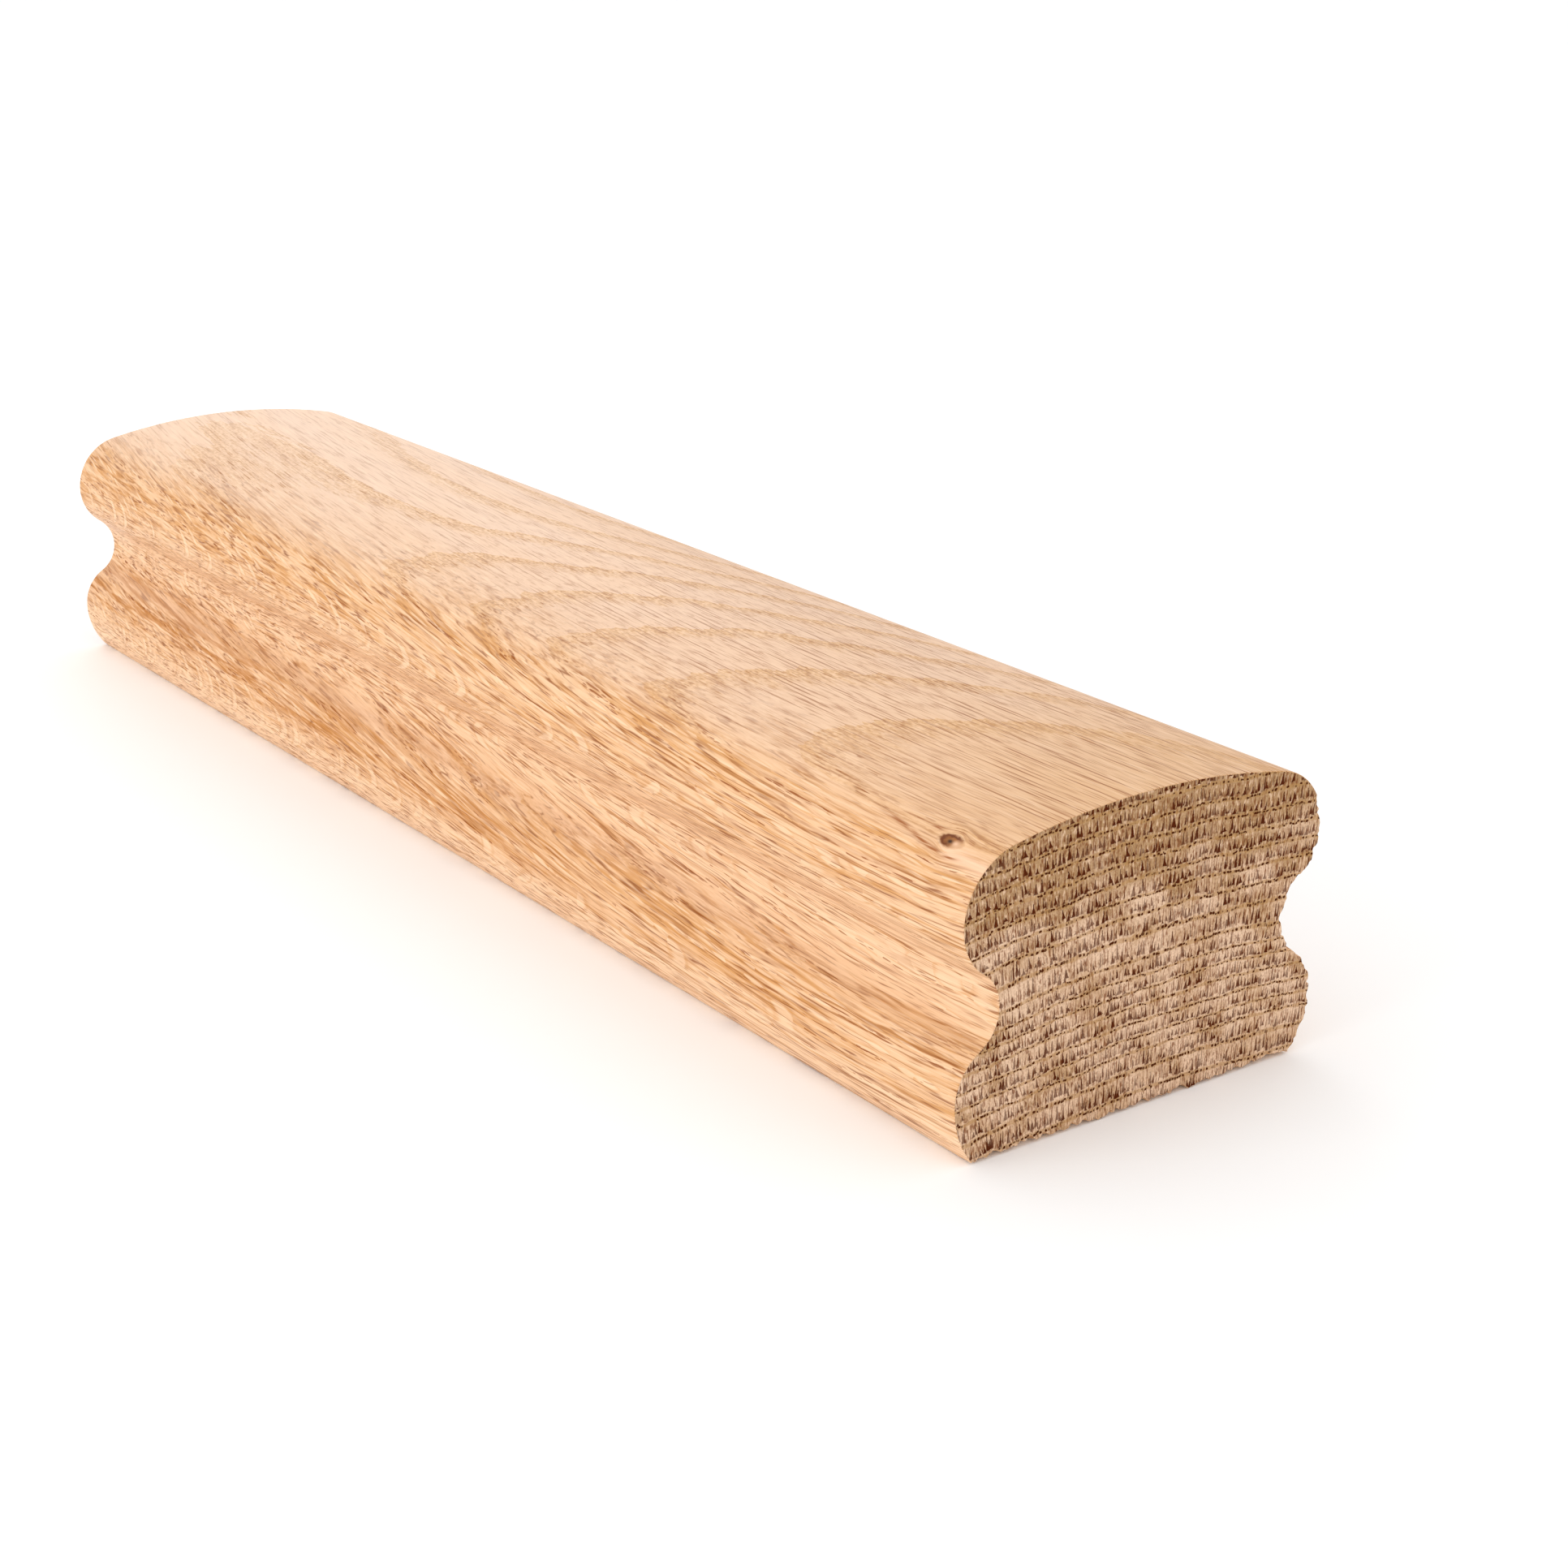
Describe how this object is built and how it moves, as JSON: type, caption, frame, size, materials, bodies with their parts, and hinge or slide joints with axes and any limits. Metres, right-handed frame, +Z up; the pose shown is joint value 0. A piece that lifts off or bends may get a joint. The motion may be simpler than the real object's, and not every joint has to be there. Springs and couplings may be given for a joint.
{
  "type": "wooden handrail",
  "caption": "Short cut length of solid oak stair handrail with a crowned top, rounded noses, finger coves and a flat foot.",
  "frame": {"origin": "middle of the flat foot, halfway along the rail", "axes": "+Y along the rail, away from the end the picture shows; +Z up through the crown; +X across the rail, to the right when looking along +Y"},
  "size_m": [0.071, 0.308, 0.05],
  "materials": {
    "oak": "unfinished sanded oak, with raw sawn end grain"
  },
  "bodies": {
    "root": {"handrail": "oak"}
  },
  "joints": []
}
